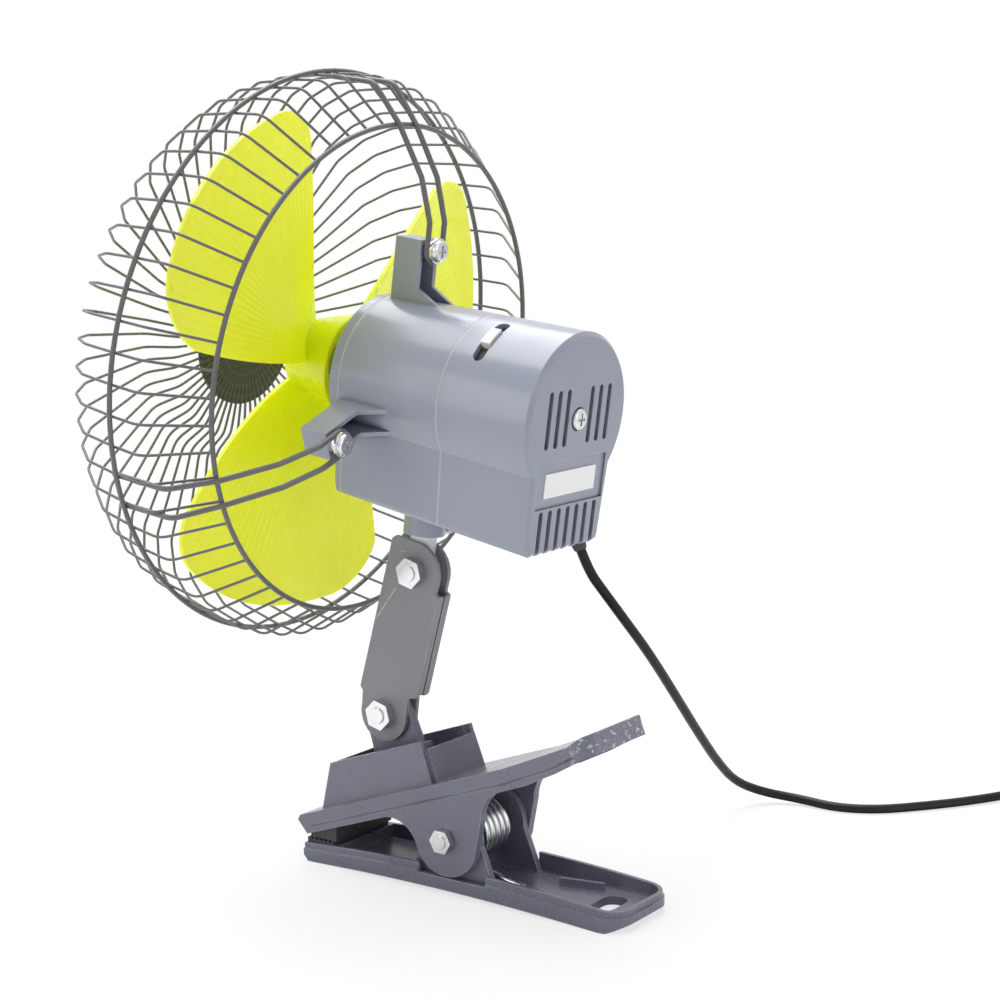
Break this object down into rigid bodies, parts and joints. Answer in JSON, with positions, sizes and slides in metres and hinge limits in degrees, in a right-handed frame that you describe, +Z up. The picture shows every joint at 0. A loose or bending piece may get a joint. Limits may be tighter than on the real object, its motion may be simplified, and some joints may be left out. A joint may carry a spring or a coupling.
{
  "type": "clip fan",
  "caption": "Small fan in a wire cage on a geared swinging head, a folding arm and a spring clip, with its cord and 12 V plug.",
  "frame": {"origin": "middle of the object's footprint, on the surface that the clip's lower lever stands on", "axes": "+X across the clip, the nut side; +Y from the cage towards the clip's handles; +Z up"},
  "size_m": [0.3796, 0.369, 0.2922],
  "materials": {
    "clip_plastic": "worn dark blue-grey moulding",
    "jaw_rubber": "ribbed pad",
    "chrome_steel": "plated fastener",
    "spring_steel": "bright spring wire",
    "arm_steel": "dark grey, scratched",
    "neck_nylon": "white nylon",
    "small_steel": "plain steel",
    "housing_plastic": "glossy mid grey",
    "white_plate": "bare white plate",
    "motor_steel": "drawn can",
    "motor_dark": "black plastic",
    "magnet": "dark ferrite",
    "core_steel": "laminated core with copper",
    "brass": "cut brass",
    "gear_nylon": "natural nylon",
    "bracket_plastic": "grey moulding",
    "knob_plastic": "pale finger piece",
    "blade_plastic": "clear lime green",
    "guard_wire": "dark grey wire",
    "badge_plastic": "dark cap",
    "cord_black": "black cord",
    "plug_black": "black moulding",
    "plug_metal": "plated contact"
  },
  "bodies": {
    "base": {"lower_lever": "clip_plastic", "lower_jaw_pad": "jaw_rubber", "pivot_bolt": "chrome_steel", "pivot_nut": "chrome_steel", "torsion_spring": "spring_steel", "power_cord": "cord_black", "cord_coil": "cord_black", "cord_tie": "cord_black", "car_plug": "plug_black", "plug_contacts": "plug_metal"},
    "upper": {"upper_lever": "clip_plastic", "upper_jaw_pad": "jaw_rubber"},
    "arm": {"arm_near_half": "arm_steel", "arm_far_half": "arm_steel", "arm_bolts": "chrome_steel", "arm_nuts": "chrome_steel"},
    "swivel": {"swivel_neck": "neck_nylon", "neck_screw": "small_steel"},
    "link": {"swing_link": "small_steel"},
    "head": {"front_housing": "housing_plastic", "rear_cover": "housing_plastic", "rear_screw": "chrome_steel", "ear_screws": "chrome_steel", "rating_plate": "white_plate", "motor_can": "motor_steel", "motor_end": "motor_dark", "motor_magnets": "magnet", "gear_bracket": "bracket_plastic", "speed_switch": "motor_dark", "guard": "guard_wire", "guard_badge": "badge_plastic", "guard_legs": "guard_wire", "cord_gland": "cord_black"},
    "rotor": {"motor_shaft": "small_steel", "armature": "core_steel", "worm": "brass", "propeller": "blade_plastic", "hub_nut": "small_steel"},
    "wheel": {"worm_wheel": "gear_nylon", "pinion_shaft": "gear_nylon"},
    "crank": {"crank_gear": "gear_nylon", "crank": "small_steel"},
    "slider": {"speed_slide": "motor_dark", "slide_knob": "knob_plastic"}
  },
  "joints": [
    {"name": "clip_open", "type": "hinge", "parent": "base", "child": "upper", "pos_m": [0, 0.02358, 0.0204], "axis": [-1, 0, 0], "range_deg": [0, 30], "stiffness_Nm_per_rad": 1, "springref_deg": -60.16, "deforming": ["torsion_spring"]},
    {"name": "arm_tilt", "type": "hinge", "parent": "upper", "child": "arm", "pos_m": [0, -0.01552, 0.0576], "axis": [1, 0, 0], "range_deg": [-15, 45], "deforming": ["power_cord"]},
    {"name": "head_tilt", "type": "hinge", "parent": "arm", "child": "swivel", "pos_m": [0, -0.00077, 0.11266], "axis": [-1, 0, 0], "range_deg": [-15, 35], "deforming": ["power_cord"]},
    {"name": "head_swing", "type": "hinge", "parent": "swivel", "child": "head", "pos_m": [0, 0.00165, 0.1311], "axis": [0, 0.13, 0.9915], "range_deg": [-30, 30], "deforming": ["power_cord"]},
    {"name": "link_swing", "type": "hinge", "parent": "swivel", "child": "link", "pos_m": [-0.0126, 0.00126, 0.12812], "axis": [0, 0.13, 0.9915], "range_deg": [-21, 21]},
    {"name": "fan_spin", "type": "hinge", "parent": "head", "child": "rotor", "pos_m": [0, -0.04976, 0.18827], "axis": [0, 0.9915, -0.13], "continuous": true},
    {"name": "wheel_spin", "type": "hinge", "parent": "head", "child": "wheel", "pos_m": [-0.0125, 0.04134, 0.15615], "axis": [0, 0.13, 0.9915], "continuous": true},
    {"name": "crank_spin", "type": "hinge", "parent": "head", "child": "crank", "pos_m": [0, 0.02079, 0.13867], "axis": [0, 0.13, 0.9915], "continuous": true},
    {"name": "speed_slide", "type": "hinge", "parent": "head", "child": "slider", "pos_m": [0, 0.03968, 0.17654], "axis": [0, 0.9915, -0.13], "range_deg": [-7, 9]}
  ],
  "couplings": [
    {"joint": "link_swing", "follows": "head_swing", "ratio": 0.65},
    {"joint": "wheel_spin", "follows": "fan_spin", "ratio": 0.033333},
    {"joint": "crank_spin", "follows": "fan_spin", "ratio": -0.010317}
  ]
}
